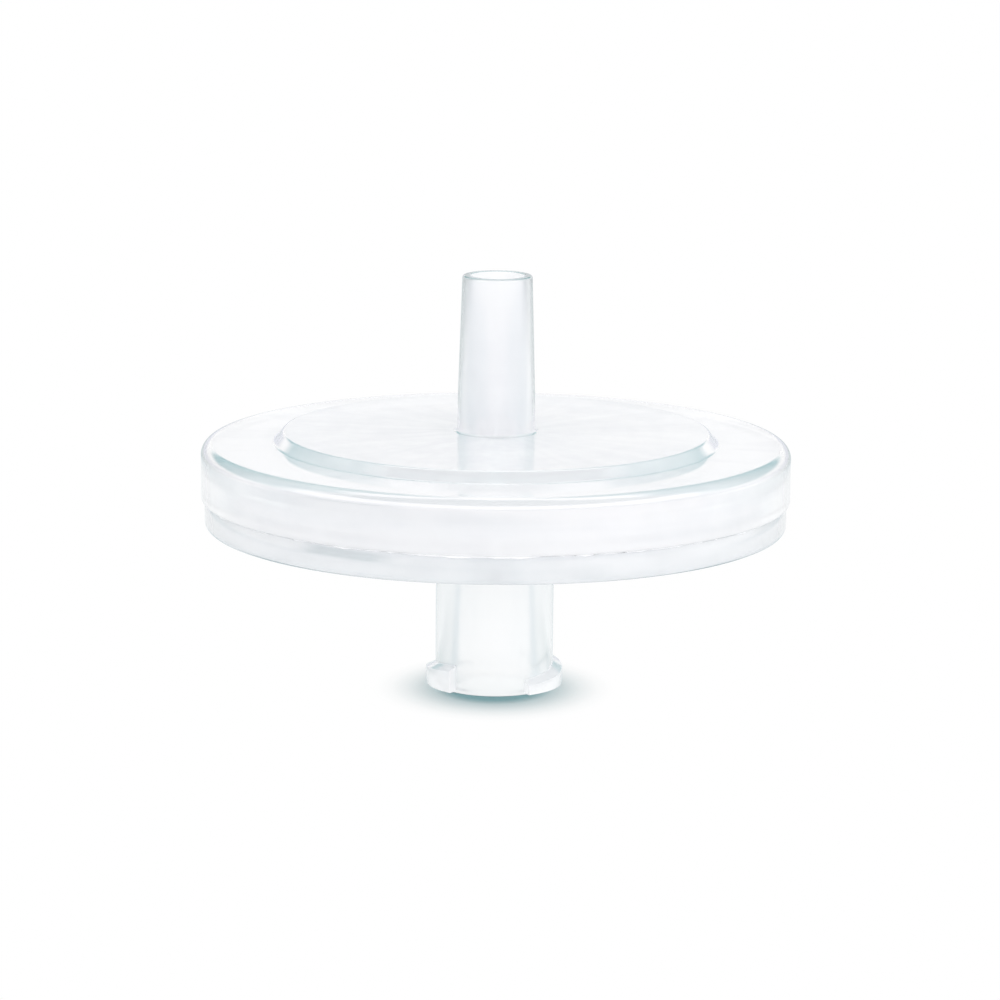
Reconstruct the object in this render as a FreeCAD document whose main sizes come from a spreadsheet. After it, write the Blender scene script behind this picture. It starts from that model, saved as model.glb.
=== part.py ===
"""A 33 mm syringe filter: an inlet shell with a female luer-lock hub, a membrane
disc, and an outlet shell with a male luer slip tip, welded together at the rim.

The filter stands on the open end of its hub. The foot plane is z = 0, the Z axis is
the axis of every piece, and +Z points along the outlet tip. Sizes are in millimetres.
"""
import FreeCAD, Part
import os
import Sketcher

doc = FreeCAD.newDocument("syringe_filter")

# ---------------------------------------------------------------- driving sizes
SIZES = [
    # heights, stacked from the foot plane up
    ("socket_depth", 8.20),
    ("port_length", 2.34),            # end of the socket to the floor of the inlet chamber
    ("inlet_plate", 1.20),            # thickness of the plate under that floor
    ("inlet_depth", 1.06),            # floor of the inlet chamber to the membrane
    ("plug_height", 0.65),            # weld seam to the membrane's lower face
    ("drain_depth", 1.35),            # membrane to the ceiling of the outlet chamber
    ("outlet_plate", 1.63),           # ceiling to the plateau
    ("plateau_rise", 0.63),           # annulus to the plateau
    ("tip_length", 8.92),             # plateau to the end of the tip
    # radial widths of the disc, stacked from the membrane out
    ("membrane_diameter", 26.40),
    ("membrane_thickness", 0.15),
    ("seat_width", 1.20),             # clamped edge of the membrane
    ("membrane_clearance", 0.15),     # membrane to its pocket, on the radius
    ("trap_wall", 0.50),              # pocket to the weld trap
    ("trap_width", 1.40),
    ("trap_depth", 0.80),
    ("weld_clearance", 0.05),         # plug to skirt, on the radius
    ("skirt_wall", 1.50),
    ("rim_inset", 0.20),              # the inlet rim stands this far inside the skirt
    ("annulus_width", 4.16),          # foot of the plateau to the outer wall
    ("plateau_bevel", 0.47),
    # edges of the disc
    ("shoulder_radius", 0.70),
    ("rim_edge_radius", 0.30),
    ("plateau_edge_radius", 0.12),
    # ring ribs under the plateau, cut by the drains
    ("ring_pitch", 1.50),
    ("ring_width", 0.50),
    ("ring_count", 6),
    ("drain_width", 0.90),
    ("drain_count", 8),
    # spokes in the inlet chamber
    ("spoke_gap", 0.26),              # top of a spoke to the membrane
    ("spoke_width", 0.60),
    ("spoke_port_gap", 1.75),         # inlet port to the inner end of a spoke
    ("spoke_count", 8),
    # male luer slip tip
    ("luer_taper", 0.06),             # diameter lost for each millimetre of length
    ("tip_end_diameter", 3.96),
    ("tip_wall", 0.45),               # wall at the end of the tip
    ("throat_diameter", 2.40),        # bore of the tip at the ceiling
    ("tip_edge_radius", 0.12),
    ("tip_root_radius", 0.15),
    # female luer-lock hub
    ("hub_diameter", 6.73),
    ("hub_root_radius", 0.60),
    ("socket_mouth_diameter", 4.30),
    ("socket_lead_in", 0.10),
    ("port_diameter", 2.50),
    ("lug_reach", 0.55),              # hub wall to the crest of a lug
    ("lug_angle", 109.0),             # arc that one lug covers
    ("lug_start_angle", -59.0),       # low end of the first lug, counter-clockwise from +X
    ("lug_start_height", 0.88),       # flank at the hub wall, at the low end
    ("lug_flank_drop", 0.27),         # the flank falls this much from wall to crest
    ("lug_edge", 0.12),               # chamfers along the crest
    ("lug_lead", 2.50),
    ("lug_count", 2),
]

sheet = doc.addObject("Spreadsheet::Sheet", "Sizes")
for row, (alias, number) in enumerate(SIZES, start=1):
    sheet.set(f"A{row}", alias)
    sheet.set(f"B{row}", str(number))
    sheet.setAlias(f"B{row}", alias)
doc.recompute()


def value_of(expression):
    """The number that an expression of the sheet gives now."""
    return float(sheet.evalExpression(expression))


# ------------------------------------------------------------- levels and radii
SOCKET_TOP = "Sizes.socket_depth"
FLOOR = f"({SOCKET_TOP} + Sizes.port_length)"
UNDERSIDE = f"({FLOOR} - Sizes.inlet_plate)"
SEAT = f"({FLOOR} + Sizes.inlet_depth)"
SEAM = f"({SEAT} - Sizes.plug_height)"
TRAP_TOP = f"({SEAT} + Sizes.trap_depth)"
MEMBRANE_TOP = f"({SEAT} + Sizes.membrane_thickness)"
CEILING = f"({MEMBRANE_TOP} + Sizes.drain_depth)"
PLATEAU = f"({CEILING} + Sizes.outlet_plate)"
ANNULUS = f"({PLATEAU} - Sizes.plateau_rise)"
TIP_END = f"({PLATEAU} + Sizes.tip_length)"

MEMBRANE = "(Sizes.membrane_diameter / 2)"
CHAMBER = f"({MEMBRANE} - Sizes.seat_width)"
POCKET = f"({MEMBRANE} + Sizes.membrane_clearance)"
TRAP = f"({POCKET} + Sizes.trap_wall)"
SKIRT = f"({TRAP} + Sizes.trap_width)"
PLUG = f"({SKIRT} - Sizes.weld_clearance)"
OUTLET_RIM = f"({SKIRT} + Sizes.skirt_wall)"
INLET_RIM = f"({OUTLET_RIM} - Sizes.rim_inset)"
PLATEAU_FOOT = f"({OUTLET_RIM} - Sizes.annulus_width)"
PLATEAU_EDGE = f"({PLATEAU_FOOT} - Sizes.plateau_bevel)"

TIP = "(Sizes.tip_end_diameter / 2)"
TIP_ROOT = f"({TIP} + Sizes.luer_taper * Sizes.tip_length / 2)"
TIP_MOUTH = f"({TIP} - Sizes.tip_wall)"
THROAT = "(Sizes.throat_diameter / 2)"
HUB = "(Sizes.hub_diameter / 2)"
LUG_CREST = f"({HUB} + Sizes.lug_reach)"
PORT = "(Sizes.port_diameter / 2)"
SOCKET = "(Sizes.socket_mouth_diameter / 2)"
SOCKET_END = f"({SOCKET} - Sizes.luer_taper * Sizes.socket_depth / 2)"


# ------------------------------------------------------------------ sketch tools
def origin_part(body, role):
    """One of the body's own origin planes or axes."""
    return next(part for part in body.Origin.OriginFeatures if part.Role == role)


def flat_sketch(body, name, height):
    """A sketch level with the foot plane, lifted to a height."""
    sketch = body.newObject("Sketcher::SketchObject", name)
    sketch.AttachmentSupport = [(origin_part(body, "XY_Plane"), "")]
    sketch.MapMode = "FlatFace"
    sketch.setExpression(".AttachmentOffset.Base.z", height)
    return sketch


def upright_sketch(body, name, turn=None):
    """A sketch through the Z axis that faces along Y, or is turned about Z from there."""
    sketch = body.newObject("Sketcher::SketchObject", name)
    sketch.AttachmentSupport = [(origin_part(body, "XZ_Plane"), "")]
    sketch.MapMode = "FlatFace"
    if turn:
        turned = FreeCAD.Rotation(FreeCAD.Vector(0, 1, 0), value_of(turn))
        sketch.AttachmentOffset = FreeCAD.Placement(FreeCAD.Vector(), turned)
        sketch.setExpression(".AttachmentOffset.Rotation.Angle", turn)
    return sketch


def tie(sketch, line, kind, expression):
    """Holds the start of a line at a distance from the sketch's origin."""
    held = Sketcher.Constraint(kind, -1, 1, line, 1, value_of(expression))
    index = sketch.addConstraint(held)
    sketch.setExpression(f"Constraints[{index}]", expression)


def outline(sketch, points):
    """Straight lines around the points, each tied to its own pair of expressions."""
    spots = [FreeCAD.Vector(value_of(x), value_of(y), 0) for x, y in points]
    for i, spot in enumerate(spots):
        sketch.addGeometry(Part.LineSegment(spot, spots[(i + 1) % len(spots)]))
    for i, (across, along) in enumerate(points):
        after = (i + 1) % len(points)
        sketch.addConstraint(Sketcher.Constraint("Coincident", i, 2, after, 1))
        tie(sketch, i, "DistanceX", across)
        if along == "0":
            sketch.addConstraint(Sketcher.Constraint("PointOnObject", i, 1, -1))
        else:
            tie(sketch, i, "DistanceY", along)


def rings(sketch, radii):
    """Circles about the sketch's origin, each with its radius tied to an expression."""
    for i, expression in enumerate(radii):
        middle, normal = FreeCAD.Vector(), FreeCAD.Vector(0, 0, 1)
        sketch.addGeometry(Part.Circle(middle, normal, value_of(expression)))
        sketch.addConstraint(Sketcher.Constraint("Coincident", i, 3, -1, 1))
        held = Sketcher.Constraint("Radius", i, value_of(expression))
        sketch.setExpression(f"Constraints[{sketch.addConstraint(held)}]", expression)


# ----------------------------------------------------------------- feature tools
def check_volume(feature, sign):
    """Stops if a feature didn't add (1) or remove (-1) material."""
    doc.recompute()
    change = feature.Shape.Volume - feature.BaseFeature.Shape.Volume
    if change * sign <= 0:
        raise RuntimeError(f"{feature.Name} changed the volume by {change}")


def turn_about_axis(body, name, sketch, angle="360"):
    feature = body.newObject("PartDesign::Revolution", name)
    feature.Profile = sketch
    feature.ReferenceAxis = (origin_part(body, "Z_Axis"), [""])
    feature.setExpression("Angle", angle)
    return feature


def pad(body, name, sketch, height):
    """Adds material from the sketch upwards."""
    feature = body.newObject("PartDesign::Pad", name)
    feature.Profile = sketch
    feature.setExpression("Length", height)
    check_volume(feature, 1)
    return feature


def pocket_upwards(body, name, sketch, height):
    """Removes material from the sketch upwards."""
    feature = body.newObject("PartDesign::Pocket", name)
    feature.Profile = sketch
    feature.setExpression("Length", height)
    feature.Reversed = True
    check_volume(feature, -1)
    return feature


def repeat_around(body, name, originals, count):
    feature = body.newObject("PartDesign::PolarPattern", name)
    feature.Originals = originals
    feature.Axis = (origin_part(body, "Z_Axis"), [""])
    feature.Angle = 360
    feature.setExpression("Occurrences", count)
    body.Tip = feature
    return feature


def circle_at(shape, across, along):
    """The name of the full circle at this radius and height."""
    for i, edge in enumerate(shape.Edges, start=1):
        if not isinstance(edge.Curve, Part.Circle) or not edge.Closed:
            continue
        off_radius = abs(edge.Curve.Radius - value_of(across))
        off_height = abs(edge.Curve.Center.z - value_of(along))
        if off_radius + off_height < 1e-6:
            return f"Edge{i}"
    raise RuntimeError(f"no round edge at radius {across}, height {along}")


def fillet(body, name, circles, fillet_radius):
    """Rounds the circles at the given pairs of radius and height."""
    doc.recompute()
    base = body.Tip
    feature = body.newObject("PartDesign::Fillet", name)
    feature.Base = (base, [circle_at(base.Shape, *circle) for circle in circles])
    feature.setExpression("Radius", fillet_radius)
    return feature


# ----------------------------------------------------------------- inlet housing
# The lower moulding: a plate with a rim, a plug ring that fits the skirt, and a hub
# whose tapered socket takes a male luer. Two lugs around the hub's mouth have a
# right-hand helical flank for a locking collar. Spokes on the floor spread the flow.
def add_lugs(body):
    """Blocks around the hub's mouth, rooted inside its wall and cut by the flank."""
    root = f"({SOCKET} + {HUB}) / 2"
    low = "Sizes.lug_start_height"
    high = f"({low} + Sizes.lug_lead * Sizes.lug_angle / 360)"
    chamfer = f"({LUG_CREST} - Sizes.lug_edge)"
    block_sketch = upright_sketch(body, "LugSketch", "Sizes.lug_start_angle")
    outline(
        block_sketch,
        [
            (root, "0"),
            (chamfer, "0"),
            (LUG_CREST, "Sizes.lug_edge"),
            (LUG_CREST, high),
            (root, high),
        ],
    )
    block = turn_about_axis(body, "LugBlock", block_sketch, "Sizes.lug_angle")

    # the cutter runs past the block on every side but below
    lead_in = "10"
    start = f"({low} - Sizes.lug_lead * {lead_in} / 360)"
    slope = "Sizes.lug_flank_drop / Sizes.lug_reach"
    at_socket = f"({start} + ({HUB} - {SOCKET}) * {slope})"
    at_chamfer = f"({start} - Sizes.lug_flank_drop + Sizes.lug_edge * {slope})"
    outside = f"({LUG_CREST} + Sizes.lug_edge)"
    above = f"({high} + Sizes.lug_lead)"
    flank_sketch = upright_sketch(body, "FlankSketch", f"Sizes.lug_start_angle - {lead_in}")
    outline(
        flank_sketch,
        [
            (SOCKET, at_socket),
            (chamfer, at_chamfer),
            (outside, f"{at_chamfer} - 2 * Sizes.lug_edge"),
            (outside, above),
            (SOCKET, above),
        ],
    )
    flank = body.newObject("PartDesign::SubtractiveHelix", "LugFlank")
    flank.Profile = flank_sketch
    flank.ReferenceAxis = (origin_part(body, "Z_Axis"), [""])
    flank.Mode = "pitch-height-angle"
    flank.Angle = 0
    flank.setExpression("Pitch", "Sizes.lug_lead")
    swept = f"(Sizes.lug_angle + 2 * {lead_in})"
    flank.setExpression("Height", f"Sizes.lug_lead * {swept} / 360")
    check_volume(flank, -1)
    repeat_around(body, "Lugs", [block, flank], "Sizes.lug_count")


def make_inlet_housing():
    body = doc.addObject("PartDesign::Body", "InletHousing")
    body.Label = "inlet_housing"
    body.AllowCompound = True         # the lugs come first and are joined by the hub
    add_lugs(body)

    section = upright_sketch(body, "InletSection")
    outline(
        section,
        [
            (f"({SOCKET} + Sizes.socket_lead_in)", "0"),
            (HUB, "0"),
            (HUB, UNDERSIDE),
            (INLET_RIM, UNDERSIDE),
            (INLET_RIM, SEAM),
            (PLUG, SEAM),
            (PLUG, SEAT),
            (CHAMBER, SEAT),
            (CHAMBER, FLOOR),
            (PORT, FLOOR),
            (PORT, SOCKET_TOP),
            (SOCKET_END, SOCKET_TOP),
            (SOCKET, "Sizes.socket_lead_in"),
        ],
    )
    turn_about_axis(body, "InletShell", section)

    spoke_sketch = flat_sketch(body, "SpokeSketch", FLOOR)
    inner_end = f"({PORT} + Sizes.spoke_port_gap)"
    outline(
        spoke_sketch,
        [
            (inner_end, "-Sizes.spoke_width / 2"),
            (CHAMBER, "-Sizes.spoke_width / 2"),
            (CHAMBER, "Sizes.spoke_width / 2"),
            (inner_end, "Sizes.spoke_width / 2"),
        ],
    )
    spoke = pad(body, "Spoke", spoke_sketch, "Sizes.inlet_depth - Sizes.spoke_gap")
    repeat_around(body, "Spokes", [spoke], "Sizes.spoke_count")

    fillet(body, "HubRoot", [(HUB, UNDERSIDE)], "Sizes.hub_root_radius")
    fillet(body, "RimEdge", [(INLET_RIM, UNDERSIDE)], "Sizes.rim_edge_radius")
    return body


# --------------------------------------------------------------- filter membrane
# A thin round disc of microporous polymer, clamped at its edge between the shells.
def make_filter_membrane():
    disc = doc.addObject("Part::Cylinder", "FilterMembrane")
    disc.Label = "filter_membrane"
    disc.setExpression("Radius", MEMBRANE)
    disc.setExpression("Height", "Sizes.membrane_thickness")
    disc.setExpression("Placement.Base.z", SEAT)
    return disc


# ---------------------------------------------------------------- outlet housing
# The upper moulding: a cap with a raised plateau and a male luer slip tip. Its skirt
# closes over the inlet shell's plug, with a ring-shaped trap that takes up the molten
# plastic of the weld. Ring ribs under the plateau carry the membrane, and radial
# drains across them lead to the bore of the tip.
def make_outlet_housing():
    body = doc.addObject("PartDesign::Body", "OutletHousing")
    body.Label = "outlet_housing"
    section = upright_sketch(body, "OutletSection")
    outline(
        section,
        [
            (SKIRT, SEAM),
            (OUTLET_RIM, SEAM),
            (OUTLET_RIM, ANNULUS),
            (PLATEAU_FOOT, ANNULUS),
            (PLATEAU_EDGE, PLATEAU),
            (TIP_ROOT, PLATEAU),
            (TIP, TIP_END),
            (TIP_MOUTH, TIP_END),
            (THROAT, CEILING),
            (CHAMBER, CEILING),
            (CHAMBER, MEMBRANE_TOP),
            (POCKET, MEMBRANE_TOP),
            (POCKET, SEAT),
            (TRAP, SEAT),
            (TRAP, TRAP_TOP),
            (SKIRT, TRAP_TOP),
        ],
    )
    turn_about_axis(body, "OutletShell", section)

    ring_sketch = flat_sketch(body, "RingSketch", MEMBRANE_TOP)
    radii = []
    for i in range(int(value_of("Sizes.ring_count"))):
        middle = f"{THROAT} + {i + 1} * Sizes.ring_pitch"
        radii.append(f"{middle} - Sizes.ring_width / 2")
        radii.append(f"{middle} + Sizes.ring_width / 2")
    rings(ring_sketch, radii)
    pad(body, "RingRibs", ring_sketch, "Sizes.drain_depth")

    drain_sketch = flat_sketch(body, "DrainSketch", MEMBRANE_TOP)
    outline(
        drain_sketch,
        [
            (THROAT, "-Sizes.drain_width / 2"),
            (CHAMBER, "-Sizes.drain_width / 2"),
            (CHAMBER, "Sizes.drain_width / 2"),
            (THROAT, "Sizes.drain_width / 2"),
        ],
    )
    drain = pocket_upwards(body, "Drain", drain_sketch, "Sizes.drain_depth")
    repeat_around(body, "Drains", [drain], "Sizes.drain_count")

    fillet(body, "Shoulder", [(OUTLET_RIM, ANNULUS)], "Sizes.shoulder_radius")
    plateau_edges = [(PLATEAU_EDGE, PLATEAU), (PLATEAU_FOOT, ANNULUS)]
    fillet(body, "PlateauEdges", plateau_edges, "Sizes.plateau_edge_radius")
    fillet(body, "TipRoot", [(TIP_ROOT, PLATEAU)], "Sizes.tip_root_radius")
    fillet(body, "TipEdge", [(TIP, TIP_END)], "Sizes.tip_edge_radius")
    return body


nodes = [make_inlet_housing(), make_filter_membrane(), make_outlet_housing()]
doc.recompute()

for item in doc.Objects:
    if "Invalid" in item.State or "Error" in item.State:
        raise RuntimeError(f"{item.Name} failed: {item.State}")
for node in nodes:
    if node.Shape.isNull() or not node.Shape.isValid() or len(node.Shape.Solids) != 1:
        raise RuntimeError(f"{node.Label} is not one valid solid")

os.makedirs("parts", exist_ok=True)
for node in nodes:
    node.Shape.exportStep(f"parts/{node.Label}.step")
    print(f"{node.Label}: {node.Shape.Volume:.2f} mm3")
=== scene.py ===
import math

import bpy
from mathutils import Matrix, Vector


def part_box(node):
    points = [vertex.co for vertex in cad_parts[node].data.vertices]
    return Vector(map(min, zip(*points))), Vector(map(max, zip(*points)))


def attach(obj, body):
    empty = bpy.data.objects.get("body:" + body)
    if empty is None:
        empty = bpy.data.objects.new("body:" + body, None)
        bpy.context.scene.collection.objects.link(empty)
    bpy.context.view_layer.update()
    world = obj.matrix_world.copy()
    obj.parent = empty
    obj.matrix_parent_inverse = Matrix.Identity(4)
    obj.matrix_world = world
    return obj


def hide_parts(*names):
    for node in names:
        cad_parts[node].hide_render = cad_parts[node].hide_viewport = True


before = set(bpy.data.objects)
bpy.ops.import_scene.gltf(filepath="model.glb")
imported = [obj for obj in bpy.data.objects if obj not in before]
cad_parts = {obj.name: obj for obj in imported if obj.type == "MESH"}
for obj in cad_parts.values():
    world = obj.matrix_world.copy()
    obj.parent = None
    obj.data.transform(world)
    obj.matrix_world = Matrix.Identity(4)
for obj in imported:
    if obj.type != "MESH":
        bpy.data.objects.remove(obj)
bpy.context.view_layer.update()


# ---------------------------------------------------------------- inlet housing
# The lower shell, injection moulded in natural polypropylene: a round plate with a rim,
# a plug ring that the other shell's skirt closes over, and a hub whose tapered socket
# takes a syringe. Two lugs with a helical flank around the hub's mouth hold the syringe.
bpy.ops.object.select_all(action="DESELECT")
MM = 0.001
inlet_low, inlet_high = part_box("inlet_housing")
outlet_low, outlet_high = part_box("outlet_housing")
membrane_low, membrane_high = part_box("filter_membrane")

CLEAR = 0.01 * MM
FOOT = inlet_low.z
SEAM = outlet_low.z
SEAT = inlet_high.z
INLET_RIM = inlet_high.x
INLET_FLOOR = SEAT - 1.06 * MM
UNDERSIDE = INLET_FLOOR - 1.20 * MM
CHAMBER = membrane_high.x - 1.20 * MM
SKIRT_INSIDE = outlet_high.x - 1.50 * MM
PLUG = SKIRT_INSIDE - 0.05 * MM
HUB = 6.73 / 2 * MM
PORT = 2.50 / 2 * MM
LUER_TAPER = 0.06
SOCKET_TOP = FOOT + 8.20 * MM
SOCKET = 4.30 / 2 * MM
SOCKET_END = SOCKET - LUER_TAPER * (SOCKET_TOP - FOOT) / 2
LEAD_IN = 0.10 * MM
LUG_FOOT = FOOT + 0.10 * MM
LUG_START_TOP = FOOT + 0.88 * MM
HUB_ROOT_RADIUS = 0.60 * MM
RIM_EDGE_RADIUS = 0.30 * MM
SEAM_EDGE_RADIUS = 0.06 * MM
MOUTH_EDGE_RADIUS = 0.08 * MM
CHAMBER_CORNER_RADIUS = 0.25 * MM
TURN_STEPS = 720
SHARP_CORNER = math.radians(32)
FACING_UP = 0.9
DOUBLE_POINTS = CLEAR / 10


def pick(piece, kind, test):
    """Selects the vertices, edges or faces that pass a test, and opens edit mode."""
    bpy.ops.object.mode_set(mode="EDIT")
    bpy.ops.mesh.select_mode(type=kind)
    bpy.ops.mesh.select_all(action="DESELECT")
    bpy.ops.object.mode_set(mode="OBJECT")
    mesh = piece.data
    for part in {"VERT": mesh.vertices, "EDGE": mesh.edges, "FACE": mesh.polygons}[kind]:
        part.select = test(part)
    bpy.ops.object.mode_set(mode="EDIT")


def turned(name, outline):
    """A closed wall around the axis: one ring, drawn on through the outline's places."""
    radius, height = outline[0]
    bpy.ops.mesh.primitive_circle_add(
        vertices=TURN_STEPS, radius=radius, location=(0, 0, height)
    )
    piece = bpy.context.object
    piece.name = piece.data.name = name
    bpy.ops.object.transform_apply(location=True, rotation=True, scale=True)
    bpy.ops.object.mode_set(mode="EDIT")
    bpy.ops.mesh.select_all(action="SELECT")
    for next_radius, next_height in outline[1:] + outline[:1]:
        rise = (0, 0, next_height - height)
        bpy.ops.mesh.extrude_edges_move(TRANSFORM_OT_translate={"value": rise})
        spread = next_radius / radius
        bpy.ops.transform.resize(
            value=(spread, spread, 1), center_override=(0, 0, next_height)
        )
        radius, height = next_radius, next_height
    bpy.ops.mesh.select_all(action="SELECT")
    bpy.ops.mesh.remove_doubles(threshold=DOUBLE_POINTS)
    bpy.ops.mesh.normals_make_consistent(inside=False)
    bpy.ops.object.mode_set(mode="OBJECT")
    return piece


def round_ring(piece, radius, height, width, segments):
    """Rounds the circular edge at this radius and height."""

    def on_ring(edge):
        ends = [piece.data.vertices[i].co for i in edge.vertices]
        return all(
            abs(math.hypot(end.x, end.y) - radius) + abs(end.z - height) < CLEAR / 2
            for end in ends
        )

    pick(piece, "EDGE", on_ring)
    bpy.ops.mesh.bevel(
        offset=width, segments=segments, affect="EDGES", clamp_overlap=False
    )
    bpy.ops.object.mode_set(mode="OBJECT")


def with_modifier(piece, kind, **settings):
    """Adds a modifier to the piece and applies it."""
    bpy.ops.object.select_all(action="DESELECT")
    piece.select_set(True)
    bpy.context.view_layer.objects.active = piece
    modifier = piece.modifiers.new(kind.title(), kind)
    for key, value in settings.items():
        setattr(modifier, key, value)
    bpy.ops.object.modifier_apply(modifier=modifier.name)


def join_in(piece, tool, operation):
    """Adds the tool's solid to the piece, or cuts it away, and deletes the tool."""
    with_modifier(piece, "BOOLEAN", object=tool, operation=operation, solver="EXACT")
    bpy.data.objects.remove(tool)


def smooth(piece):
    """Smooth shading that keeps flat faces flat and true corners sharp."""
    bpy.ops.object.select_all(action="DESELECT")
    piece.select_set(True)
    bpy.context.view_layer.objects.active = piece
    bpy.ops.object.shade_smooth_by_angle(angle=SHARP_CORNER)
    with_modifier(piece, "WEIGHTED_NORMAL", keep_sharp=True, mode="FACE_AREA_WITH_ANGLE")


inlet = turned(
    "inlet_housing_moulded",
    [
        (SOCKET + LEAD_IN, FOOT),
        (HUB, FOOT),
        (HUB, LUG_FOOT),
        (HUB, LUG_START_TOP),
        (HUB, UNDERSIDE),
        (INLET_RIM, UNDERSIDE),
        (INLET_RIM, SEAM - CLEAR),
        (PLUG, SEAM - CLEAR),
        (PLUG, SEAT - CLEAR),
        (CHAMBER, SEAT - CLEAR),
        (CHAMBER, INLET_FLOOR),
        (PORT, INLET_FLOOR),
        (PORT, SOCKET_TOP),
        (SOCKET_END, SOCKET_TOP),
        (SOCKET, FOOT + LEAD_IN),
    ],
)
round_ring(inlet, HUB, UNDERSIDE, HUB_ROOT_RADIUS, segments=8)
round_ring(inlet, INLET_RIM, UNDERSIDE, RIM_EDGE_RADIUS, segments=6)
round_ring(inlet, INLET_RIM, SEAM - CLEAR, SEAM_EDGE_RADIUS, segments=3)
round_ring(inlet, HUB, FOOT, MOUTH_EDGE_RADIUS, segments=4)
round_ring(inlet, CHAMBER, INLET_FLOOR, CHAMBER_CORNER_RADIUS, segments=4)

LUG_CREST = HUB + 0.55 * MM
LUG_ARC = 109
LUG_STARTS = (-59, 121)
LUG_RISE = 2.50 * MM * LUG_ARC / 360
LUG_DROP = 0.27 * MM
LUG_EDGE = 0.12 * MM
AT_LUG_END = 0.001


def way_along_lug(point):
    """How far round a lug a point is, from 0 at its low end to 1, or None between lugs."""
    angle = math.degrees(math.atan2(point.y, point.x))
    for start in LUG_STARTS:
        way = ((angle - start + 180) % 360 - 180) / LUG_ARC
        if -AT_LUG_END < way < 1 + AT_LUG_END:
            return way
    return None


def is_at(point, radius, height=None):
    """True for a point at this radius from the axis, and at this height if one is given."""
    off = abs(math.hypot(point.x, point.y) - radius)
    return off + (0 if height is None else abs(point.z - height)) < CLEAR / 2


for vertex in inlet.data.vertices:
    if is_at(vertex.co, HUB, LUG_START_TOP) and way_along_lug(vertex.co) is not None:
        vertex.co.z += LUG_RISE * way_along_lug(vertex.co)


def on_lug_root(face):
    """True for the stretch of hub wall that a lug stands on."""
    low = min(inlet.data.vertices[i].co.z for i in face.vertices)
    ways = [way_along_lug(inlet.data.vertices[i].co) for i in face.vertices]
    radius = math.hypot(face.center.x, face.center.y)
    return abs(low - LUG_FOOT) < CLEAR and None not in ways and radius > HUB - CLEAR


pick(inlet, "FACE", on_lug_root)
bpy.ops.mesh.extrude_region_move(TRANSFORM_OT_translate={"value": (0, 0, 0)})
spread = LUG_CREST / HUB
bpy.ops.transform.resize(value=(spread, spread, 1), center_override=(0, 0, 0))
bpy.ops.object.mode_set(mode="OBJECT")
pick(
    inlet,
    "VERT",
    lambda vertex: is_at(vertex.co, LUG_CREST) and vertex.co.z > LUG_FOOT + CLEAR,
)
bpy.ops.transform.translate(value=(0, 0, -LUG_DROP))
bpy.ops.object.mode_set(mode="OBJECT")


def on_crest_outline(edge):
    """True for an edge around a lug's outer face."""
    a, b = [inlet.data.vertices[i].co for i in edge.vertices]
    level = abs(a.z - b.z) < CLEAR * 3
    ends = [way_along_lug(a), way_along_lug(b)]
    at_end = None not in ends and all(
        way < AT_LUG_END or way > 1 - AT_LUG_END for way in ends
    )
    return is_at(a, LUG_CREST) and is_at(b, LUG_CREST) and (level or at_end)


pick(inlet, "EDGE", on_crest_outline)
bpy.ops.mesh.bevel(offset=LUG_EDGE, segments=4, affect="EDGES", clamp_overlap=True)
bpy.ops.mesh.select_all(action="SELECT")
bpy.ops.mesh.remove_doubles(threshold=2 * DOUBLE_POINTS)
bpy.ops.object.mode_set(mode="OBJECT")

SPOKE_WIDTH = 0.60 * MM
SPOKE_TOP = SEAT - 0.26 * MM
SPOKE_START = PORT + 1.75 * MM
SPOKE_ROOT = 0.2 * MM
SPOKE_EDGE = 0.12 * MM
SPOKE_COUNT = 8
bpy.ops.object.select_all(action="DESELECT")
bpy.ops.mesh.primitive_cube_add(
    size=1,
    location=(
        (SPOKE_START + CHAMBER + SPOKE_ROOT) / 2,
        0,
        (INLET_FLOOR - SPOKE_ROOT + SPOKE_TOP) / 2,
    ),
)
spokes = bpy.context.object
spokes.scale = (
    CHAMBER + SPOKE_ROOT - SPOKE_START,
    SPOKE_WIDTH,
    SPOKE_TOP - INLET_FLOOR + SPOKE_ROOT,
)
bpy.ops.object.transform_apply(location=True, rotation=True, scale=True)
pick(spokes, "FACE", lambda face: face.normal.z > FACING_UP)
bpy.ops.mesh.bevel(offset=SPOKE_EDGE, segments=3, affect="EDGES")
bpy.ops.mesh.select_all(action="SELECT")
bpy.ops.mesh.spin(
    steps=SPOKE_COUNT, dupli=True, angle=math.tau, center=(0, 0, 0), axis=(0, 0, 1)
)
bpy.ops.mesh.select_all(action="SELECT")
bpy.ops.mesh.remove_doubles(threshold=DOUBLE_POINTS)
bpy.ops.object.mode_set(mode="OBJECT")
join_in(inlet, spokes, "UNION")
smooth(inlet)


def add_node(tree, kind, inputs, **settings):
    """Adds a node. Its inputs are values, or the outputs of other nodes to link."""
    node = tree.nodes.new("ShaderNode" + kind)
    for key, value in settings.items():
        setattr(node, key, value)
    for socket, value in inputs.items():
        if isinstance(value, bpy.types.NodeSocket):
            tree.links.new(value, node.inputs[socket])
        else:
            node.inputs[socket].default_value = value
    return node


def reckon(tree, operation, *terms, **settings):
    """A number worked out from these terms."""
    return add_node(
        tree, "Math", dict(enumerate(terms)), operation=operation, **settings
    ).outputs[0]


def reckon_way(tree, operation, *terms):
    """A direction or place worked out from these terms, or a length along one."""
    node = add_node(tree, "VectorMath", dict(enumerate(terms)), operation=operation)
    return node.outputs["Value" if operation in ("LENGTH", "DOT_PRODUCT") else "Vector"]


def between(tree, value, start, end):
    """How far a value has come from the start to the end, kept within 0 and 1."""
    limits = {"Value": value, "From Min": start, "From Max": end}
    return add_node(tree, "MapRange", limits).outputs[0]


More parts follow.
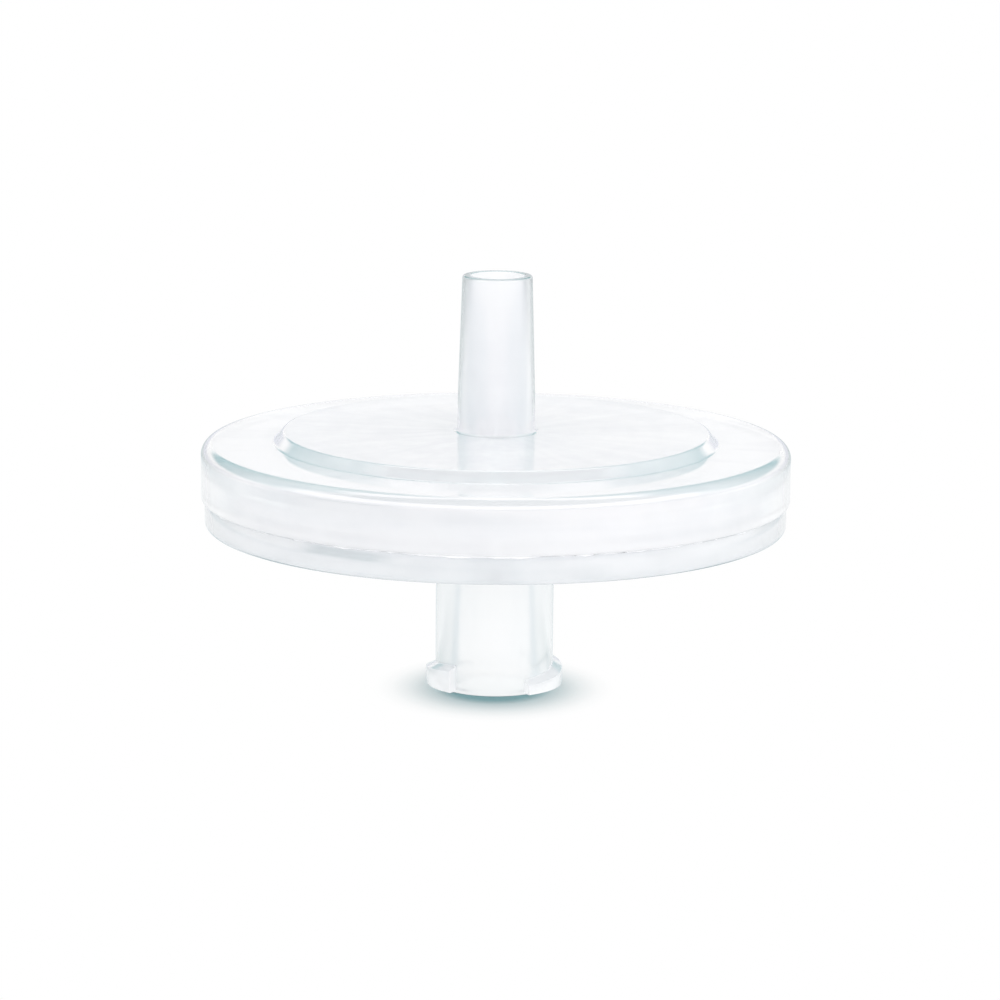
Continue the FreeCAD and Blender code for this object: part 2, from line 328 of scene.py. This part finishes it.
def blend(tree, share, first, second, **settings):
    """The first colour, giving way to the second by this share."""
    colours = {0: share, 6: first, 7: second}
    return add_node(tree, "Mix", colours, data_type="RGBA", **settings).outputs[2]


def clouds_in(tree, place, fineness, detail):
    """Soft uneven patches, more of them in a millimetre the finer they are."""
    looks = {"Vector": place, "Scale": fineness, "Detail": detail}
    return add_node(tree, "TexNoise", looks).outputs[0]


CLOUD_FINENESS = 0.35 / MM
LAYER_FINENESS = (0.07 / MM, 0.07 / MM, 1.0 / MM)
GRAIN_FINENESS = 1.6 / MM
STREAKS_ROUND = (9.0, 9.0, 0.0)
STREAK_FINENESS = 0.12 / MM
LEVEL_FACES = (0.97, 0.999)
PLATEAU_REACH = (12.7 * MM, 12.5 * MM)
LAYER_STRENGTH = 1.2
STREAK_CLEARING = -0.65
PLATEAU_FOG = 0.25
PLATEAU_SPECKLE = 0.6
HAZE_RANGE = (0.95, 1.65)
GRAIN_ROUGHNESS = 0.05


def moulding_marks():
    """A node group for what flowing plastic leaves: haze, fanned streaks, layers, grain.

    Streaks and speckle come on level faces only, and the shine on all the others.
    """
    marks = bpy.data.node_groups.new("moulding_marks", "ShaderNodeTree")
    for name, kind in (
        ("Place", "Vector"),
        ("Clear Colour", "Color"),
        ("Hazy Colour", "Color"),
        ("Streaks", "Float"),
        ("Facing", "Vector"),
        ("Frost", "Float"),
    ):
        marks.interface.new_socket(name, in_out="INPUT", socket_type="NodeSocket" + kind)
    for name, kind in (
        ("Colour", "Color"),
        ("Roughness", "Float"),
        ("Shine", "Float"),
        ("Height", "Float"),
    ):
        marks.interface.new_socket(name, in_out="OUTPUT", socket_type="NodeSocket" + kind)
    given = marks.nodes.new("NodeGroupInput").outputs
    place = given["Place"]
    clouds = clouds_in(marks, place, CLOUD_FINENESS, 3.0)
    layered = reckon_way(marks, "MULTIPLY", place, LAYER_FINENESS)
    layers = clouds_in(marks, layered, 1.0, 2.0)
    grain = clouds_in(marks, place, GRAIN_FINENESS, 2.0)

    facing = add_node(marks, "SeparateXYZ", {0: given["Facing"]})
    level = between(marks, facing.outputs["Z"], *LEVEL_FACES)
    shine = reckon(marks, "SUBTRACT", 1.0, level)
    streaking = reckon(marks, "MULTIPLY", given["Streaks"], level)

    flat = reckon_way(marks, "MULTIPLY", place, (1.0, 1.0, 0.0))
    outwards = reckon_way(marks, "LENGTH", flat)
    way_out = reckon_way(marks, "NORMALIZE", flat)
    spread = reckon_way(marks, "MULTIPLY", way_out, STREAKS_ROUND)
    along = reckon(marks, "MULTIPLY", outwards, STREAK_FINENESS)
    lifted = add_node(marks, "CombineXYZ", {"Z": along})
    fan = reckon_way(marks, "ADD", spread, lifted.outputs[0])
    streaks = clouds_in(marks, fan, 1.0, 3.0)

    plateau = between(marks, outwards, *PLATEAU_REACH)
    on_plateau = reckon(marks, "MULTIPLY", plateau, streaking)
    speckles = reckon(marks, "MULTIPLY", grain, on_plateau)
    haze = clouds
    for mark, strength in (
        (layers, LAYER_STRENGTH),
        (streaks, streaking),
        (streaking, STREAK_CLEARING),
        (on_plateau, PLATEAU_FOG),
        (speckles, PLATEAU_SPECKLE),
    ):
        haze = reckon(marks, "MULTIPLY_ADD", mark, strength, haze)
    hazy = between(marks, haze, *HAZE_RANGE)

    put_out = marks.nodes.new("NodeGroupOutput").inputs
    for name, outcome in (
        ("Colour", blend(marks, hazy, given["Clear Colour"], given["Hazy Colour"])),
        ("Roughness", reckon(marks, "MULTIPLY_ADD", grain, GRAIN_ROUGHNESS, given["Frost"])),
        ("Shine", shine),
        ("Height", reckon(marks, "MULTIPLY", streaks, streaking)),
    ):
        marks.links.new(outcome, put_out[name])
    return marks


marks_group = moulding_marks()
PLASTIC_IOR = 1.49
SKIN_ROUGHNESS = 0.04
WAVE_HEIGHT = 0.02 * MM


def natural_plastic(
    finish, clear, hazy, clearness, gloss,
    waves=0.1, streaks=0.0, frost=0.1, inner=0.1, tinge=(1.0, 1.0, 1.0),
):
    """Unpigmented polypropylene: milky from outside, clear once light is inside it.

    Clearness is the share of light that enters, and gloss the index of the shiny skin.
    Frost is the roughness outside and inner that of the wall met from within. The tinge
    is what light takes on each time it meets the wall from within, so that it shows most
    where a thick wall keeps the light in.
    """
    material = bpy.data.materials.new("natural_polypropylene_" + finish)
    material.use_nodes = True
    tree = material.node_tree
    tree.nodes.clear()
    place = add_node(tree, "TexCoord", {})
    marks = add_node(
        tree, "Group",
        {
            "Place": place.outputs["Object"],
            "Facing": place.outputs["Normal"],
            "Clear Colour": (*clear, 1),
            "Hazy Colour": (*hazy, 1),
            "Streaks": streaks,
            "Frost": frost,
        },
        node_tree=marks_group,
    )
    bump = add_node(
        tree, "Bump",
        {"Height": marks.outputs["Height"], "Strength": waves, "Distance": WAVE_HEIGHT},
    )
    outside = add_node(
        tree, "BsdfPrincipled",
        {
            "Base Color": marks.outputs["Colour"],
            "Roughness": marks.outputs["Roughness"],
            "Normal": bump.outputs[0],
            "Coat Normal": bump.outputs[0],
            "IOR": PLASTIC_IOR,
            "Transmission Weight": clearness,
            "Coat Weight": marks.outputs["Shine"],
            "Coat Roughness": SKIN_ROUGHNESS,
            "Coat IOR": gloss,
        },
    )
    inside = add_node(
        tree, "BsdfGlass",
        {"Color": (*tinge, 1), "Roughness": inner, "IOR": PLASTIC_IOR},
    )
    side = add_node(tree, "NewGeometry", {})
    surface = add_node(
        tree, "MixShader",
        {0: side.outputs["Backfacing"], 1: outside.outputs[0], 2: inside.outputs[0]},
    )
    add_node(tree, "OutputMaterial", {"Surface": surface.outputs[0]})
    return material


def paint(piece, material, test):
    """Gives the faces that pass a test this material."""
    piece.data.materials.append(material)
    pick(piece, "FACE", test)
    piece.active_material_index = len(piece.data.materials) - 1
    bpy.ops.object.material_slot_assign()
    bpy.ops.object.mode_set(mode="OBJECT")


def from_axis(face):
    """How far a face's middle is from the filter's axis."""
    return math.hypot(face.center.x, face.center.y)


DISC_CLEARNESS = 0.36
disc_plastic = natural_plastic(
    "disc", clear=(0.945, 0.942, 0.957), hazy=(0.838, 0.848, 0.878),
    clearness=DISC_CLEARNESS, gloss=2.0, streaks=0.85, frost=0.05,
)
hub_plastic = natural_plastic(
    "hub", clear=(1.0, 1.0, 1.0), hazy=(0.98, 0.985, 0.99),
    clearness=0.4, gloss=1.5, tinge=(0.985, 0.99, 0.99),
)
lug_plastic = natural_plastic(
    "lugs", clear=(0.98, 0.98, 0.99), hazy=(0.95, 0.955, 0.965),
    clearness=0.15, gloss=1.3, frost=0.15, inner=0.2,
)
bore_plastic = natural_plastic(
    "bores", clear=(1.0, 1.0, 1.0), hazy=(0.98, 0.985, 0.99),
    clearness=0.92, gloss=1.5, frost=0.15, inner=0.15,
)
# The rim's plastic is a darker copy of the disc's, alike in all but colour: painted shade on
# the inlet shell below the seam.
rim_painted_shade_plastic = natural_plastic(
    "rim", clear=(0.81, 0.822, 0.848), hazy=(0.7, 0.725, 0.755),
    clearness=DISC_CLEARNESS, gloss=2.0, waves=0.15, frost=0.05,
)
LUG_HEIGHT = 2.0 * MM
paint(inlet, rim_painted_shade_plastic, lambda face: True)
paint(
    inlet,
    hub_plastic,
    lambda face: from_axis(face) < LUG_CREST + CLEAR
    and face.center.z < INLET_FLOOR - CLEAR,
)
paint(
    inlet,
    lug_plastic,
    lambda face: HUB + CLEAR < from_axis(face) < LUG_CREST + CLEAR
    and face.center.z < FOOT + LUG_HEIGHT,
)
paint(
    inlet,
    bore_plastic,
    lambda face: from_axis(face) < SOCKET + CLEAR
    and FOOT + CLEAR < face.center.z < SOCKET_TOP + CLEAR,
)

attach(inlet, "root")
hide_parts("inlet_housing")


# -------------------------------------------------------------- filter membrane
# A thin white disc of microporous polymer, punched from sheet. It lies on the inlet
# shell's plug ring and is clamped at its edge when the two shells are welded.
MEMBRANE = membrane_high.x
MEMBRANE_TOP = membrane_high.z
MEMBRANE_LOW = membrane_low.z
CLAMP_EDGE = 0.1 * MM
PUNCHED_EDGE = 0.03 * MM
MEMBRANE_STEPS = 192
PORE_FINENESS = 6 / MM
PORE_SHADE = (0.9, 0.9, 0.9, 1)
PORE_LIGHT = (0.97, 0.97, 0.97, 1)
PORE_ROUGHNESS = 0.8
bpy.ops.object.select_all(action="DESELECT")
bpy.ops.mesh.primitive_cylinder_add(
    vertices=MEMBRANE_STEPS,
    radius=MEMBRANE,
    depth=MEMBRANE_TOP - MEMBRANE_LOW - 2 * CLEAR,
    location=(0, 0, (MEMBRANE_TOP + MEMBRANE_LOW) / 2),
)
membrane = bpy.context.object
membrane.name = membrane.data.name = "filter_membrane_sheet"
bpy.ops.object.transform_apply(location=True, rotation=True, scale=True)
pick(membrane, "FACE", lambda face: abs(face.normal.z) > FACING_UP)
bpy.ops.mesh.inset(thickness=MEMBRANE - CHAMBER + CLAMP_EDGE)
bpy.ops.object.mode_set(mode="OBJECT")
round_ring(membrane, MEMBRANE, MEMBRANE_TOP - CLEAR, PUNCHED_EDGE, segments=2)
smooth(membrane)

pores = bpy.data.materials.new("microporous_membrane")
pores.use_nodes = True
pores_tree = pores.node_tree
pores_shader = pores_tree.nodes["Principled BSDF"]
pores_place = add_node(pores_tree, "TexCoord", {})
pores_spots = clouds_in(pores_tree, pores_place.outputs["Object"], PORE_FINENESS, 2.0)
pores_tint = blend(pores_tree, pores_spots, PORE_SHADE, PORE_LIGHT)
pores_tree.links.new(pores_tint, pores_shader.inputs["Base Color"])
pores_shader.inputs["Roughness"].default_value = PORE_ROUGHNESS
membrane.data.materials.append(pores)
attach(membrane, "root")
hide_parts("filter_membrane")


# --------------------------------------------------------------- outlet housing
# The upper shell, moulded in the same plastic: a cap with a raised plateau and a male
# luer slip tip. Ring ribs under the plateau carry the membrane, and eight radial drains
# across them lead to the tip's bore. The skirt closes over the inlet shell's plug.
OUTLET_RIM = outlet_high.x
TIP_END = outlet_high.z
CEILING = MEMBRANE_TOP + 1.35 * MM
PLATEAU = CEILING + 1.63 * MM
ANNULUS = PLATEAU - 0.63 * MM
PLATEAU_FOOT = OUTLET_RIM - 4.16 * MM
PLATEAU_EDGE = PLATEAU_FOOT - 0.47 * MM
POCKET = MEMBRANE + 0.15 * MM
TRAP = POCKET + 0.50 * MM
TRAP_TOP = SEAT + 0.80 * MM
TIP = 3.96 / 2 * MM
TIP_ROOT = TIP + LUER_TAPER * (TIP_END - PLATEAU) / 2
TIP_MOUTH = TIP - 0.45 * MM
THROAT = 2.40 / 2 * MM
RING_COUNT = 6
RING_PITCH = 1.50 * MM
RING_WIDTH = 0.50 * MM
DRAIN_WIDTH = 0.90 * MM
DRAIN_TOP = CEILING + 0.05 * MM
DRAIN_END = 0.05 * MM
DRAIN_SLOTS = 4
SHOULDER_RADIUS = 0.70 * MM
SKIRT_EDGE_RADIUS = 0.08 * MM
PLATEAU_EDGE_RADIUS = 0.10 * MM
TIP_ROOT_RADIUS = 0.15 * MM
TIP_EDGE_RADIUS = 0.12 * MM
TIP_MOUTH_RADIUS = 0.05 * MM

ring_ribs = []
for count in range(RING_COUNT, 0, -1):
    middle = THROAT + count * RING_PITCH
    outer, inner = middle + RING_WIDTH / 2, middle - RING_WIDTH / 2
    ring_ribs += [
        (outer, CEILING),
        (outer, MEMBRANE_TOP),
        (inner, MEMBRANE_TOP),
        (inner, CEILING),
    ]
outlet = turned(
    "outlet_housing_moulded",
    [
        (SKIRT_INSIDE, SEAM),
        (OUTLET_RIM, SEAM),
        (OUTLET_RIM, ANNULUS),
        (PLATEAU_FOOT, ANNULUS),
        (PLATEAU_EDGE, PLATEAU),
        (TIP_ROOT, PLATEAU),
        (TIP, TIP_END),
        (TIP_MOUTH, TIP_END),
        (THROAT, CEILING),
        *reversed(ring_ribs),
        (CHAMBER, CEILING),
        (CHAMBER, MEMBRANE_TOP),
        (POCKET, MEMBRANE_TOP),
        (POCKET, SEAT),
        (TRAP, SEAT),
        (TRAP, TRAP_TOP),
        (SKIRT_INSIDE, TRAP_TOP),
    ],
)
round_ring(outlet, OUTLET_RIM, ANNULUS, SHOULDER_RADIUS, segments=12)
round_ring(outlet, OUTLET_RIM, SEAM, SKIRT_EDGE_RADIUS, segments=3)
round_ring(outlet, PLATEAU_FOOT, ANNULUS, PLATEAU_EDGE_RADIUS, segments=4)
round_ring(outlet, PLATEAU_EDGE, PLATEAU, PLATEAU_EDGE_RADIUS, segments=4)
round_ring(outlet, TIP_ROOT, PLATEAU, TIP_ROOT_RADIUS, segments=4)
round_ring(outlet, TIP, TIP_END, TIP_EDGE_RADIUS, segments=5)
round_ring(outlet, TIP_MOUTH, TIP_END, TIP_MOUTH_RADIUS, segments=3)

bpy.ops.object.select_all(action="DESELECT")
bpy.ops.mesh.primitive_cube_add(
    size=1, location=(0, 0, (MEMBRANE_TOP + DRAIN_TOP) / 2 - CLEAR)
)
drains = bpy.context.object
drains.scale = (
    2 * (CHAMBER - DRAIN_END),
    DRAIN_WIDTH,
    DRAIN_TOP - MEMBRANE_TOP + 2 * CLEAR,
)
bpy.ops.object.transform_apply(location=True, rotation=True, scale=True)
for slot in range(DRAIN_SLOTS):
    last = slot == DRAIN_SLOTS - 1
    if not last:
        next_drains = drains.copy()
        next_drains.data = drains.data.copy()
        bpy.context.scene.collection.objects.link(next_drains)
    join_in(outlet, drains, "DIFFERENCE")
    if not last:
        drains = next_drains
        bpy.ops.object.select_all(action="DESELECT")
        drains.select_set(True)
        bpy.context.view_layer.objects.active = drains
        bpy.ops.object.mode_set(mode="EDIT")
        bpy.ops.mesh.select_all(action="SELECT")
        bpy.ops.transform.rotate(
            value=math.pi / DRAIN_SLOTS, orient_axis="Z", center_override=(0, 0, 0)
        )
        bpy.ops.object.mode_set(mode="OBJECT")
smooth(outlet)

tip_plastic = natural_plastic(
    "tip", clear=(1.0, 0.985, 0.995), hazy=(0.97, 0.96, 0.975),
    clearness=0.62, gloss=1.7, inner=0.06, tinge=(0.97, 0.985, 0.985),
)
# The lip's plastic is a dark teal copy of the tip's: painted shade, drawing a dark outline
# round the tip's mouth.
lip_painted_shade_plastic = natural_plastic(
    "lip", clear=(0.6, 0.7, 0.7), hazy=(0.55, 0.65, 0.66), clearness=0.5, gloss=1.5,
)
TIP_FILLET = 0.2 * MM
LIP_DEPTH = 0.02 * MM
paint(outlet, disc_plastic, lambda face: True)
paint(
    outlet,
    tip_plastic,
    lambda face: from_axis(face) < TIP_ROOT + TIP_FILLET
    and face.center.z > CEILING + CLEAR,
)
paint(outlet, lip_painted_shade_plastic, lambda face: face.center.z > TIP_END - LIP_DEPTH)

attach(outlet, "root")
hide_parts("outlet_housing")


# ------------------------------------------------------------------ weld flash
# A fine ragged bead of plastic that the ultrasonic weld squeezed out of the seam all
# round, under the skirt's edge. It is the shells' own plastic and stays stuck to them.
FLASH_RADIUS = 0.05 * MM
FLASH_RING = OUTLET_RIM - 0.19 * MM
FLASH_LEVEL = SEAM - 0.02 * MM
RAG_LENGTH = 1.4 * MM
RAG_DEPTH = 0.14 * MM
RAG_CONTRAST = 2.5
RAG_MIDDLE = 0.6
BEAD_STEPS = 8
bpy.ops.object.select_all(action="DESELECT")
bpy.ops.mesh.primitive_torus_add(
    major_radius=FLASH_RING,
    minor_radius=FLASH_RADIUS,
    major_segments=TURN_STEPS,
    minor_segments=BEAD_STEPS,
    location=(0, 0, FLASH_LEVEL),
)
flash = bpy.context.object
flash.name = flash.data.name = "weld_flash"
bpy.ops.object.transform_apply(location=True, rotation=True, scale=True)
ragged = bpy.data.textures.new("ragged_bead", "CLOUDS")
ragged.noise_scale = RAG_LENGTH
ragged.noise_depth = 2
ragged.contrast = RAG_CONTRAST
with_modifier(
    flash,
    "DISPLACE",
    texture=ragged,
    texture_coords="LOCAL",
    strength=RAG_DEPTH,
    mid_level=RAG_MIDDLE,
)
bpy.ops.object.shade_smooth()
flash_plastic = natural_plastic(
    "flash", clear=(0.93, 0.93, 0.945), hazy=(0.88, 0.89, 0.91),
    clearness=0.0, gloss=1.3, frost=0.2,
)
flash.data.materials.append(flash_plastic)
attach(flash, "root")


# ----------------------------------------------------------------- studio floor
# A white table top. Round the foot the shadow is partly painted: a fade sets how far
# the white glow gives way to a matt dark teal surface, whose colour paints the shade and
# which also takes the object's real shadow. Under the foot the glow is painted darker.
# Further out it is plain white. Dark rings, strips and a bright card lie on it for mirrored
# light alone, and its sides are darker for light mirrored inside a wall, as studio cards do.
TABLE_SIZE = 2
WHITE = (1, 1, 1, 1)
# A dark teal colour for the matt floor round the foot: painted shadow, which the real shadow
# darkens further.
MATT_PAINTED_SHADOW = (0.22, 0.38, 0.4, 1)
TABLE_LIGHT = (1.08, 1.08, 1.08, 1)
SHADOW_BACK = 1.1 * MM
SHADOW_SQUEEZE = (1, 0.85, 1)
SHADOW_NEAR = 2.0 * MM
SHADOW_FAR = 8.0 * MM
# Painted shadow: the share of white glow over the dark matt floor, by distance from a point
# just behind the foot.
PAINTED_SHADOW_FADE = (
    (2.0, 0.0), (2.6, 0.03), (3.0, 0.16), (3.42, 0.38), (3.87, 0.5), (4.5, 0.67),
    (5.0, 0.79), (5.9, 0.94), (6.6, 0.99), (7.0, 1.0),
)
# Under the foot the table's glow is painted darker: painted shade.
UNDER_FOOT = (2 * MM, 3.6 * MM)
UNDER_FOOT_PAINTED_SHADE = (0.88, 0.91, 0.92, 1)
RING_SHADE = (0.5, 0.62, 0.66, 1)
RINGS_REACH = 120
TABLE_RINGS = ((0, 0.3), (36, 0.6), (50, 0.15), (70, 0.15), (76, 0.6), (86, 0.6), (92, 0.0))
STRIP_CARD = (0.0, 0.16, 0.18, 1)
NEAR_STRIP_START = (5 * MM, 9 * MM)
NEAR_STRIP_END = (27 * MM, 17 * MM)
NEAR_STRIP_SIDES = (7 * MM, 3 * MM)
FAR_STRIPS_START = (86 * MM, 92 * MM)
FAR_STRIPS = (
    (-1.0, 0.0), (-0.82, 0.0), (-0.7, 1.0), (-0.35, 1.0), (-0.2, 0.0), (0.35, 0.0), (0.6, 0.3),
    (1.0, 0.4),
)
BRIGHT_CARD = (1.2, 1.2, 1.2, 1)
BRIGHT_CARD_WAY = (0.75, -0.66, 0)
BRIGHT_CARD_EDGE = (45 * MM, 75 * MM)
INNER_LIGHT = (0.93, 0.955, 0.965, 1)
SIDE_LIGHT = (0.58, 0.68, 0.73, 1)
SIDE_EDGE = (0.72, 0.9)


def ramp(tree, share, stops):
    """A colour ramp with these (position, colour) stops."""
    node = add_node(tree, "ValToRGB", {"Fac": share})
    points = node.color_ramp.elements
    points.remove(points[1])
    points[0].position = stops[0][0]
    points[0].color = (*stops[0][1], 1)
    for position, colour in stops[1:]:
        points.new(position).color = (*colour, 1)
    return node.outputs[0]


def grey_ramp(tree, share, stops, start, end):
    """A ramp of greys, whose stops are given on a scale from the start to the end."""
    return ramp(
        tree, share, [((at - start) / (end - start), (grey,) * 3) for at, grey in stops]
    )


bpy.ops.object.select_all(action="DESELECT")
bpy.ops.mesh.primitive_plane_add(size=TABLE_SIZE, location=(0, 0, FOOT))
floor = bpy.context.object
floor.name = floor.data.name = "studio_floor"
floor_paint = bpy.data.materials.new("white_table")
floor_paint.use_nodes = True
tree = floor_paint.node_tree
tree.nodes.clear()
spot = add_node(tree, "TexCoord", {}).outputs["Object"]
seen = add_node(tree, "LightPath", {}).outputs
mirrored = reckon(
    tree, "SUBTRACT", seen["Is Glossy Ray"], seen["Is Transmission Ray"], use_clamp=True
)
mirrored_inside = reckon(
    tree, "MULTIPLY", seen["Is Transmission Ray"], seen["Glossy Depth"], use_clamp=True
)
distance = reckon_way(tree, "LENGTH", spot)
spot_place = add_node(tree, "SeparateXYZ", {0: spot}).outputs
spot_bearing = add_node(tree, "SeparateXYZ", {0: reckon_way(tree, "NORMALIZE", spot)}).outputs

moved = reckon_way(tree, "ADD", spot, (0, SHADOW_BACK, 0))
squeezed = reckon_way(tree, "MULTIPLY", moved, SHADOW_SQUEEZE)
from_shadow = reckon_way(tree, "LENGTH", squeezed)
painted_shadow_fade = grey_ramp(
    tree, between(tree, from_shadow, SHADOW_NEAR, SHADOW_FAR),
    [(radius * MM, grey) for radius, grey in PAINTED_SHADOW_FADE], SHADOW_NEAR, SHADOW_FAR,
)
unseen_light = reckon(
    tree, "MAXIMUM", seen["Is Diffuse Ray"], seen["Is Transmission Ray"]
)
outside_painted_shadow = reckon(tree, "MAXIMUM", painted_shadow_fade, unseen_light)

rings = grey_ramp(
    tree, between(tree, distance, 0.0, RINGS_REACH * MM), TABLE_RINGS, 0, RINGS_REACH
)
rings_mirrored = reckon(tree, "MULTIPLY", rings, mirrored)
sideways = reckon(tree, "ABSOLUTE", spot_place["X"])
lengthways = reckon(tree, "ABSOLUTE", spot_place["Y"])
strip_length = reckon(
    tree, "MULTIPLY",
    between(tree, sideways, *NEAR_STRIP_START), between(tree, sideways, *NEAR_STRIP_END),
)
near_strips = reckon(
    tree, "MULTIPLY", strip_length, between(tree, lengthways, *NEAR_STRIP_SIDES)
)
far_strips = grey_ramp(
    tree, between(tree, spot_bearing["Y"], -1.0, 1.0), FAR_STRIPS, -1, 1
)
far_strips_beyond = reckon(
    tree, "MULTIPLY", between(tree, distance, *FAR_STRIPS_START), far_strips
)
strips = reckon(tree, "MAXIMUM", far_strips_beyond, near_strips)
strips_mirrored = reckon(tree, "MULTIPLY", strips, mirrored)
card_way = reckon_way(tree, "DOT_PRODUCT", spot, BRIGHT_CARD_WAY)
card_mirrored = reckon(
    tree, "MULTIPLY", between(tree, card_way, *BRIGHT_CARD_EDGE), mirrored
)
aside = reckon(tree, "ABSOLUTE", spot_bearing["X"])
inner_light = blend(tree, between(tree, aside, *SIDE_EDGE), INNER_LIGHT, SIDE_LIGHT)

table = blend(tree, rings_mirrored, WHITE, RING_SHADE)
table = blend(tree, strips_mirrored, table, STRIP_CARD)
table = blend(tree, mirrored_inside, table, inner_light)
table = blend(tree, card_mirrored, table, BRIGHT_CARD)
table = blend(tree, seen["Is Diffuse Ray"], table, TABLE_LIGHT)
# Painted shade: the glow is dimmed under the foot.
painted_foot_shade = blend(tree, between(tree, distance, *UNDER_FOOT), UNDER_FOOT_PAINTED_SHADE, WHITE)
table = blend(tree, 1.0, table, painted_foot_shade, blend_type="MULTIPLY")
glow = add_node(tree, "Emission", {"Color": table})
# The matt floor round the foot is coloured dark teal: painted shadow, which also takes the
# real shadow.
painted_shadow_matt = add_node(tree, "BsdfDiffuse", {"Color": MATT_PAINTED_SHADOW})
top = add_node(tree, "MixShader", {0: outside_painted_shadow, 1: painted_shadow_matt.outputs[0], 2: glow.outputs[0]})
add_node(tree, "OutputMaterial", {"Surface": top.outputs[0]})
floor.data.materials.append(floor_paint)


# ------------------------------------------------------------------- white room
# The studio all round: a white backdrop low down, a ring of dark cards above it that
# the glossy edges mirror, and a softbox overhead. It lights a little more from the right,
# and there are no lamps.
DARK_CARD = (0.0, 0.32, 0.36, 1)
DARK_CARD_SIDE = (0.08, 0.16)
BACKDROP_LOW = (0.76, 0.78, 0.85)
BRIGHT_WALL = (1.06,) * 3
BACK_SOFTBOX = (1.3,) * 3
SOFTBOX = (1.6,) * 3
CEILING_GREY = (0.16, 0.28, 0.3)
ROOM_BEHIND = (
    (-90, BACKDROP_LOW), (6, BACKDROP_LOW), (9, BRIGHT_WALL), (42, BRIGHT_WALL),
    (50, BACK_SOFTBOX), (72, BACK_SOFTBOX), (80, CEILING_GREY), (90, CEILING_GREY),
)
ROOM_IN_FRONT = (
    (-90, BACKDROP_LOW), (8, BACKDROP_LOW), (16, SOFTBOX), (36, SOFTBOX),
    (43, CEILING_GREY), (90, CEILING_GREY),
)
BACK_WALL = (-0.1, 0.2)
CARDS_BY_HEIGHT = ((-90, 0), (13, 0), (18, 1), (56, 1), (62, 0))
LIGHTING_ROOM = ((-90, 1.0), (0, 1.2), (25, 1.15), (50, 1.1), (90, 1.1))
KEY_WAY = (0.16, -0.2, 0.0)
KEY_LEVEL = 1.02
room = bpy.data.worlds.new("white_room")
bpy.context.scene.world = room
room.use_nodes = True
tree = room.node_tree
tree.nodes.clear()
way = add_node(tree, "TexCoord", {}).outputs["Generated"]
way_parts = add_node(tree, "SeparateXYZ", {0: way}).outputs
upward = between(tree, way_parts["Z"], -1.0, 1.0)


def room_by_height(stops):
    """The room's colour by how high above the horizon it is, in degrees."""
    return ramp(
        tree, upward,
        [((math.sin(math.radians(height)) + 1) / 2, colour) for height, colour in stops],
    )


def greys(stops):
    """The same stops with a colour in place of each grey."""
    return [(height, (grey,) * 3) for height, grey in stops]


toward_key = reckon_way(tree, "DOT_PRODUCT", way, KEY_WAY)
lighting = add_node(
    tree, "VectorMath",
    {
        0: room_by_height(greys(LIGHTING_ROOM)),
        "Scale": reckon(tree, "ADD", toward_key, KEY_LEVEL),
    },
    operation="SCALE",
)
seen = add_node(tree, "LightPath", {}).outputs
inner = blend(tree, seen["Glossy Depth"], WHITE, INNER_LIGHT)
level_way = reckon_way(tree, "MULTIPLY", way, (1, 1, 0))
compass = add_node(tree, "SeparateXYZ", {0: reckon_way(tree, "NORMALIZE", level_way)}).outputs
behind = between(tree, compass["Y"], *BACK_WALL)
beside = between(tree, reckon(tree, "ABSOLUTE", compass["X"]), *DARK_CARD_SIDE)
card_place = reckon(tree, "MULTIPLY", behind, beside)
cards = reckon(tree, "MULTIPLY", card_place, room_by_height(greys(CARDS_BY_HEIGHT)))
walls = blend(tree, behind, room_by_height(ROOM_IN_FRONT), room_by_height(ROOM_BEHIND))
shown = blend(tree, cards, walls, DARK_CARD)
for kind_of_ray, colour in (
    ("Is Transmission Ray", inner),
    ("Is Diffuse Ray", lighting.outputs[0]),
    ("Is Camera Ray", WHITE),
):
    shown = blend(tree, seen[kind_of_ray], shown, colour)
backing = add_node(tree, "Background", {"Color": shown})
add_node(tree, "OutputWorld", {"Surface": backing.outputs[0]})


# ----------------------------------------------------------------------- camera
# A long lens a little above the disc, turned slightly, as a product shot is taken. Light
# may bounce many times, because the clear walls trap it and are dark without that.
DISTANCE = 250 * MM
ELEVATION = math.radians(11.04)
ROLL = math.radians(0.52)
MIDDLE_HEIGHT = 12 * MM
AIM_ASIDE = 0.2505 * MM
AIM_DOWN = 1.264 * MM
LENS = 158.1
SENSOR_WIDTH = 36
NEAREST = 0.01
FURTHEST = 10
camera_data = bpy.data.cameras.new("camera")
camera_data.lens = LENS
camera_data.sensor_width = SENSOR_WIDTH
camera_data.clip_start = NEAREST
camera_data.clip_end = FURTHEST
camera = bpy.data.objects.new("camera", camera_data)
bpy.context.scene.collection.objects.link(camera)
bpy.context.scene.camera = camera
back = Vector((0, -math.cos(ELEVATION), math.sin(ELEVATION)))
up = Vector((0, math.sin(ELEVATION), math.cos(ELEVATION)))
middle = Vector((0, 0, FOOT + MIDDLE_HEIGHT))
aim = middle + Vector((AIM_ASIDE, 0, 0)) - up * AIM_DOWN
camera.location = middle + back * DISTANCE
look = (aim - camera.location).to_track_quat("-Z", "Y")
camera.rotation_mode = "QUATERNION"
camera.rotation_quaternion = look @ Matrix.Rotation(ROLL, 3, "Z").to_quaternion()

WALL_BOUNCES = 24
MATT_BOUNCES = 16
scene = bpy.context.scene
scene.view_settings.view_transform = "Standard"
scene.cycles.max_bounces = WALL_BOUNCES
scene.cycles.transmission_bounces = WALL_BOUNCES
scene.cycles.diffuse_bounces = MATT_BOUNCES
scene.cycles.glossy_bounces = WALL_BOUNCES
scene.cycles.blur_glossy = 0
